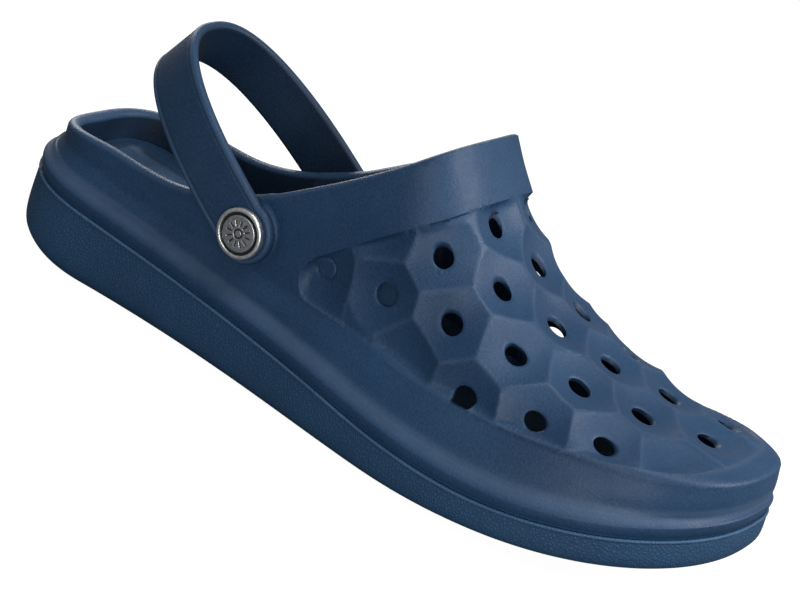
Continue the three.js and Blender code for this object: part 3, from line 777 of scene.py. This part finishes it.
def make_strap(material):
    run, line = strap_path()
    length = run[-1]
    outline = strap_outline(length)
    along = np.roll(outline, -1, axis=0) - np.roll(outline, 1, axis=0)
    along /= np.hypot(*along.T)[:, None]
    inside = np.c_[-along[:, 1], along[:, 0]]
    rings = [outline + inside * d for d in (0.12, 0.35, 0.7, 1.1, 1.5, 1.85, 2.15, 2.45, 2.8, 3.3)]
    a = np.linspace(0, 2 * np.pi, 40, endpoint=False)
    circle = SHANK_HOLE / 2 * np.c_[np.cos(a), np.sin(a)]
    holes = [circle, circle + [length, 0]]
    loose = hex_grid(outline.min(0), outline.max(0), 1.4)
    loose = np.vstack([*rings, loose[loop_distance(loose, outline[::3]) < -3.6]])
    loose = thinned(np.vstack([outline, *holes]), loose, 0.1)
    loose = loose[~in_loop(loose, holes[0]) & ~in_loop(loose, holes[1])]
    flat, triangles, spans = triangulate(outline, holes, loose)
    depth = -loop_distance(flat, outline)
    depth[spans[0]] = 0
    bulge = STRAP_T / 2 * (1 - (1 - np.clip(depth / STRAP_ROUND, 0, 1)) ** 2.3) ** (1 / 2.3)
    front = bulge + 0.1 * np.exp(-((depth - 1.6) / 0.5) ** 2) - 0.28 * np.exp(-((depth - 2.3) / 0.28) ** 2)
    place, normal = along_strap(run, line, flat[:, 0])
    turn = math.radians(STRAP_ANGLE)

    def at(offset):
        b, y = (place + normal * offset[:, None]).T
        v = flat[:, 1]
        return np.c_[PIVOT_X - b * math.cos(turn) + v * math.sin(turn), y,
                     PIVOT_Z + b * math.sin(turn) + v * math.cos(turn)]
    n = len(flat)
    back = np.arange(n) + n
    back[spans[0]] = spans[0]
    faces = [*triangles, *back[triangles[:, ::-1]]]
    for span in spans[1:]:
        faces += strip(span, back[span])
    # A painted highlight, partly rubbed wear, along the strap's rounded edge on its outer face; the back of
    # the strap is painted shade.
    edge = np.exp(-((depth - 1.3) / 0.8) ** 2) * 0.6
    return make_piece("strap", np.vstack([at(front), at(-bulge)]), faces, "strap", "heel_strap",
                      material, paint=np.r_[edge, np.full(n, -0.75)])


# ------------------------------------------------------------------ the rivets
# Profiles run along the rivet: radius, distance out from the pad.
HEAD_LOW = GAP + STRAP_T + GAP
HEAD_TOP = HEAD_LOW + HEAD_T
SEAT_R, SEAT_LOW = 7.3, HEAD_TOP - BADGE_T
BADGE_R = 6.45            # a little smaller than in the CAD
SHANK_END = -PAD_THICK - 2.6
SEGMENTS = 128


def placed(points, side):
    """Rivet coordinates (across, up, out) to last coordinates, on one side of the shoe."""
    pad = PAD_LATERAL if side < 0 else PAD_MEDIAL
    return np.c_[PIVOT_X + points[:, 0], pad + side * points[:, 2], PIVOT_Z + points[:, 1]]


def lathe(profile):
    a = np.linspace(0, 2 * np.pi, SEGMENTS, endpoint=False)
    points, faces, rows = [], [], []
    for r, out in profile:
        start = len(points)
        if r == 0:
            points.append([0, 0, out])
            rows.append([start] * SEGMENTS)
        else:
            points += np.c_[r * np.cos(a), r * np.sin(a), np.full(SEGMENTS, out)].tolist()
            rows.append(list(range(start, start + SEGMENTS)))
    for low, high in zip(rows, rows[1:]):
        faces += [tuple(dict.fromkeys(f)) for f in strip(low, high)]
    return np.array(points), faces


def rounded(corners, radius, steps=5):
    """The profile with its corners rounded off; the ends and sharp corners (radius 0) stay."""
    p = np.array(corners, float)
    line = [p[0]]
    for before, at, after, r in zip(p, p[1:], p[2:], radius):
        if r == 0:
            line.append(at)
            continue
        a = at + (before - at) * min(0.5, r / np.linalg.norm(before - at))
        b = at + (after - at) * min(0.5, r / np.linalg.norm(after - at))
        line += [(1 - t) ** 2 * a + 2 * t * (1 - t) * at + t * t * b for t in np.linspace(0, 1, steps)]
    return [tuple(v) for v in [*line, p[-1]]]


def motif(flat):
    """Depth, 0 to 1, of the plain engraved dial on the badge."""
    r = np.hypot(*flat.T)
    angle = np.arctan2(flat[:, 1], flat[:, 0])
    tick = np.abs((angle / (2 * np.pi) * 12 + 0.5) % 1 - 0.5) * 2 * np.pi / 12 * r
    ticks = smooth((0.36 - tick) / 0.18) * smooth((r - 2.5) / 0.2) * smooth((4.9 - r) / 0.2)
    ring = smooth((0.42 - np.abs(r - 1.5)) / 0.18)
    return np.maximum(ticks, ring)


def make_rivet(name, side, metal, badge_metal, plastic):
    shank, head = SHANK_D / 2, HEAD_D / 2
    profile = rounded([[0, SHANK_END], [shank, SHANK_END], [shank, HEAD_LOW], [head - 0.1, HEAD_LOW],
                       [head, HEAD_TOP], [SEAT_R + 0.25, HEAD_TOP + 0.1], [SEAT_R, SEAT_LOW],
                       [0, SEAT_LOW]],
                      [0.4, 0.1, 0.5, 0.9, 0.35, 0.1])
    points, faces = lathe(profile)
    away = np.hypot(points[:, 0], points[:, 1])
    # painted black, not metal: the narrow groove of the seat round the badge
    dark = ((away < SEAT_R + 0.05) & (away > BADGE_R - 1) & (points[:, 2] < SEAT_LOW + 0.9)).astype(float)
    make_piece(f"stud_{name}", placed(points, side), faces, f"rivet_{name}", f"rivet_stud_{name}",
               metal, sharp=40, paint=dark)

    seat = -PAD_THICK - GAP
    bore = shank + GAP
    profile = rounded([[0, SHANK_END - 1.6], [5.5, SHANK_END - 1.6], [6.5, seat - 1.4], [6.5, seat],
                       [bore, seat], [bore, SHANK_END - GAP], [0, SHANK_END - GAP]],
                      [1.2, 0.6, 0.3, 0.1, 0])
    points, faces = lathe(profile)
    make_piece(f"socket_{name}", placed(points, side), faces, f"rivet_{name}", f"rivet_socket_{name}",
               plastic, sharp=40)

    a = np.linspace(0, 2 * np.pi, 200, endpoint=False)
    border = BADGE_R * np.c_[np.cos(a), np.sin(a)]
    rings = [border * (BADGE_R - d) / BADGE_R for d in (0.1, 0.22, 0.4)]
    grid = hex_grid([-7, -7], [7, 7], 0.17)
    loose = np.vstack([*rings, grid[np.hypot(*grid.T) < BADGE_R - 0.55]])
    flat, triangles, spans = triangulate(border, [], loose)
    r = np.hypot(*flat.T)
    engraved = motif(flat)
    roll = 0.3 * (1 - np.sqrt(np.clip(1 - np.clip((r - BADGE_R + 0.4) / 0.4, 0, 1) ** 2, 0, 1)))
    top = HEAD_TOP + 0.12 - 0.12 * (r / BADGE_R) ** 2 - roll - 0.16 * engraved
    n = len(flat)
    low = SEAT_LOW + GAP * 0.5
    points = np.vstack([np.c_[flat, top], np.c_[border, np.full(len(border), low)]])
    under = np.arange(n, n + len(border))
    faces = [*triangles, *strip(under, spans[0]), list(under[::-1])]
    # the engraving is painted black, and so is the foot of the badge's edge, down in the seat's groove
    make_piece(f"badge_{name}", placed(points, side), faces, f"rivet_{name}", f"rivet_badge_{name}",
               badge_metal, sharp=40, paint=np.r_[engraved, np.ones(len(border))])


# ------------------------------------------------------------------ materials
class Look:
    """A Principled material with its nodes added one call at a time."""

    def __init__(self, name, roughness, specular=0.5, metallic=0.0):
        self.material = bpy.data.materials.new(name)
        self.material.use_nodes = True
        self.tree = self.material.node_tree
        self.shader = self.tree.nodes["Principled BSDF"]
        self.shader.inputs["Roughness"].default_value = roughness
        self.shader.inputs["Specular IOR Level"].default_value = specular
        self.shader.inputs["Metallic"].default_value = metallic
        self.place = self.tree.nodes.new("ShaderNodeTexCoord").outputs["Object"]

    def node(self, kind, **settings):
        """A new node: capitalised settings with _ for space are sockets, the others are properties."""
        node = self.tree.nodes.new("ShaderNode" + kind)
        for key, value in settings.items():
            if key[0].islower():
                setattr(node, key, value)
            elif isinstance(value, bpy.types.NodeSocket):
                self.tree.links.new(value, node.inputs[key.replace("_", " ")])
            else:
                node.inputs[key.replace("_", " ")].default_value = value
        return node

    def noise(self, size, detail=3.0, roughness=0.55):
        """Noise with features of the given size in mm."""
        return self.node("TexNoise", Vector=self.place, Scale=1000 / size, Detail=detail,
                         Roughness=roughness).outputs["Fac"]

    def cells(self, size, feature="F1", randomness=1.0):
        return self.node("TexVoronoi", feature=feature, Vector=self.place, Scale=1000 / size,
                         Randomness=randomness).outputs["Distance"]

    def paint(self):
        return self.node("Attribute", attribute_name="paint").outputs["Fac"]

    def ramp(self, value, *stops):
        """Colour ramp: stops are (position, grey or colour)."""
        node = self.node("ValToRGB", Fac=value)
        elements = node.color_ramp.elements
        while len(elements) < len(stops):
            elements.new(0.5)
        for element, (position, colour) in zip(elements, stops):
            element.position = position
            element.color = (*colour, 1) if isinstance(colour, tuple) else (colour, colour, colour, 1)
        return node.outputs["Color"]

    def mix(self, share, a, b, blend="MIX"):
        node = self.tree.nodes.new("ShaderNodeMixRGB")
        node.blend_type = blend
        for socket, value in zip(node.inputs, (share, a, b)):
            if isinstance(value, bpy.types.NodeSocket):
                self.tree.links.new(value, socket)
            else:
                socket.default_value = (*value, 1) if isinstance(value, tuple) else value
        return node.outputs[0]

    def bump(self, height, distance, strength=1.0, under=None):
        node = self.node("Bump", Height=height, Distance=distance * 0.001, Strength=strength)
        if under is not None:
            self.tree.links.new(under, node.inputs["Normal"])
        return node.outputs["Normal"]

    def finish(self, colour, normal=None, roughness=None):
        self.tree.links.new(colour, self.shader.inputs["Base Color"])
        if normal is not None:
            self.tree.links.new(normal, self.shader.inputs["Normal"])
        if roughness is not None:
            self.tree.links.new(roughness, self.shader.inputs["Roughness"])
        return self.material


def foam(name, dark, light, highlight_and_wear, grain=0.8, grain_depth=0.14):
    """Moulded closed-cell foam: pebbled skin, cloudy colour, paler edges (partly rubbed wear, partly
    painted highlight) and painted shade on the inside.
    """
    look = Look(name, 0.55, specular=0.21)
    colour = look.mix(look.ramp(look.noise(38, 3), (0.32, 0.0), (0.7, 1.0)), dark, light)
    # Negative paint is painted shade, down to 0.4 of the colour: inside the upper, the vent walls, the
    # socket floors, the strap's back and the covered forefoot of the footbed.
    inside = look.node("MapRange", Value=look.paint(), From_Min=-1.0, From_Max=0.0, To_Min=0.4, To_Max=1.0)
    colour = look.mix(1.0, colour, inside.outputs[0], "MULTIPLY")
    speckle = look.ramp(look.noise(0.8, 2, 0.7), (0.3, 0.7), (0.7, 1.28))
    colour = look.mix(0.8, colour, speckle, "MULTIPLY")
    # Positive paint mixes in the paler colour: painted highlights, rubbed wear, and the footbed's paler
    # heel panel.
    highlight_and_wear_share = look.mix(0.55, look.paint(), look.noise(6, 3), "MULTIPLY")
    colour = look.mix(highlight_and_wear_share, colour, highlight_and_wear)
    coarse = look.bump(look.noise(9, 2), 0.12, 0.5)
    skin = look.bump(look.noise(grain, 3, 0.6), grain_depth, 0.9, coarse)
    return look.finish(colour, skin, look.ramp(look.noise(14, 3), (0.3, 0.44), (0.75, 0.6)))


def grained(name, dark, light, highlight_and_wear):
    """Foam moulded with a leather grain, for the side of the sole, with a plain bead at its top that is
    painted paler as a highlight where the paint attribute is set.
    """
    look = Look(name, 0.55, specular=0.21)
    colour = look.mix(look.ramp(look.noise(30, 3), (0.3, 0.0), (0.72, 1.0)), dark, light)
    crease = look.ramp(look.cells(1.2, "DISTANCE_TO_EDGE"), (0.0, 0.0), (0.3, 1.0))
    colour = look.mix(0.3, colour, look.mix(crease, (0.3, 0.3, 0.3), (1.15, 1.15, 1.15)), "MULTIPLY")
    # paler where painted: the highlight along the bead
    colour = look.mix(look.mix(0.75, look.paint(), look.noise(9, 3), "MULTIPLY"), colour, highlight_and_wear)
    grain = look.bump(crease, 0.2, 0.8, look.bump(look.noise(3, 3), 0.15, 0.6))
    return look.finish(colour, look.bump(look.noise(0.5, 2), 0.03, 0.6, grain),
                       look.ramp(crease, (0.0, 0.75), (1.0, 0.55)))


def brushed(name, tone, ink, size, mottle):
    """Dull silver metal with fine mottling, black and not metal where the paint attribute is set: the
    badge's engraving, the foot of its edge and the groove of the stud's seat round it.
    """
    look = Look(name, 0.36, metallic=1.0)
    colour = look.ramp(look.noise(size, 4, 0.7), (0.3, tuple(t * (1 - mottle) for t in tone)), (0.7, tone))
    painted = look.ramp(look.paint(), (0.35, 0.0), (0.6, 1.0))
    colour = look.mix(painted, colour, ink)
    look.tree.links.new(look.ramp(look.paint(), (0.35, 1.0), (0.6, 0.0)), look.shader.inputs["Metallic"])
    scratch = look.bump(look.noise(0.25, 3, 0.7), 0.012, 0.6)
    return look.finish(colour, scratch, look.ramp(look.noise(1.2, 3), (0.3, 0.3), (0.7, 0.46)))


def dark_plastic():
    look = Look("socket_plastic", 0.5, specular=0.4)
    colour = look.ramp(look.noise(5, 3), (0.3, (0.008, 0.010, 0.014)), (0.7, (0.014, 0.017, 0.022)))
    return look.finish(colour, look.bump(look.noise(0.4, 2), 0.03, 0.5))


def floor_look():
    """A dark floor that glows white to the camera only, so it sends little light up at the shoe."""
    look = Look("studio_floor", 0.9, specular=0.0)
    seen = look.node("LightPath").outputs["Is Camera Ray"]
    glow = look.node("Math", operation="MULTIPLY")
    look.tree.links.new(seen, glow.inputs[0])
    glow.inputs[1].default_value = 0.96
    look.shader.inputs["Emission Color"].default_value = (1, 1, 1, 1)
    look.tree.links.new(glow.outputs[0], look.shader.inputs["Emission Strength"])
    return look.finish(look.ramp(look.noise(60, 2), (0.3, 0.11), (0.7, 0.12)))


# ------------------------------------------------------------------ studio
def make_floor(material):
    half, z = 3.0, -0.0003
    corners = [(-half, -half, z), (half, -half, z), (half, half, z), (-half, half, z)]
    mesh = bpy.data.meshes.new("floor")
    mesh.from_pydata(corners, [], [(0, 1, 2, 3)])
    mesh.materials.append(material)
    floor = bpy.data.objects.new("floor", mesh)
    bpy.context.scene.collection.objects.link(floor)


def area_light(name, place, aim, size, power, colour=(1, 1, 1)):
    light = bpy.data.lights.new(name, "AREA")
    light.shape = "RECTANGLE"
    light.size, light.size_y = size
    light.energy = power
    light.color = colour
    lamp = bpy.data.objects.new(name, light)
    bpy.context.scene.collection.objects.link(lamp)
    back = np.array(place, float) - np.array(aim, float)
    back /= np.linalg.norm(back)
    side = np.cross([0, 0, 1], back)
    side /= np.linalg.norm(side)
    up = np.cross(back, side)
    lamp.matrix_world = Matrix([[side[i], up[i], back[i], place[i]] for i in range(3)] + [[0, 0, 0, 1]])


def make_studio():
    world = bpy.data.worlds.new("studio")
    bpy.context.scene.world = world
    world.use_nodes = True
    world.node_tree.nodes["Background"].inputs["Color"].default_value = (1, 1, 1, 1)
    world.node_tree.nodes["Background"].inputs["Strength"].default_value = 0.34
    bpy.context.scene.view_settings.view_transform = "Standard"
    make_floor(floor_look())
    area_light("top", (0.28, -0.14, 1.00), (0.06, 0, 0.04), (0.45, 0.45), 7.5)
    area_light("toe", (0.85, 0.30, 0.62), (0.06, 0, 0.04), (0.45, 0.40), 13.5)
    area_light("fill", (0.60, -1.20, 0.28), (0, 0, 0.03), (0.9, 0.5), 15)
    area_light("back", (-0.90, 0.75, 0.55), (0, 0, 0.03), (0.6, 0.5), 9)


# ------------------------------------------------------------------ the whole clog
# The third colour of each foam is its paler one, mixed in where the paint attribute is positive: painted
# highlights and rubbed wear, and the footbed's paler heel panel.
NAVY_DARK, NAVY, PALE_HIGHLIGHT_AND_WEAR = (0.0062, 0.0235, 0.0570), (0.0092, 0.0320, 0.0740), (0.042, 0.070, 0.118)

make_camera()
make_studio()
upper_foam = foam("upper_foam", NAVY_DARK, NAVY, PALE_HIGHLIGHT_AND_WEAR)
make_upper(upper_foam)
make_sole(grained("sole_foam", (0.0080, 0.0325, 0.0750), (0.0108, 0.0415, 0.0930), (0.035, 0.080, 0.145)))
make_footbed(foam("footbed_foam", (0.0055, 0.020, 0.048), (0.0080, 0.027, 0.061), (0.026, 0.052, 0.095)))
make_strap(foam("strap_foam", (0.0065, 0.0220, 0.0510), (0.0090, 0.0290, 0.0660), (0.030, 0.062, 0.115)))
silver = brushed("rivet_silver", (0.62, 0.63, 0.64), (0.004, 0.005, 0.007), 1.5, 0.15)
badge_silver = brushed("badge_silver", (0.46, 0.48, 0.51), (0.004, 0.005, 0.007), 0.5, 0.45)
plastic = dark_plastic()
for name, side in (("lateral", -1), ("medial", 1)):
    make_rivet(name, side, silver, badge_silver, plastic)
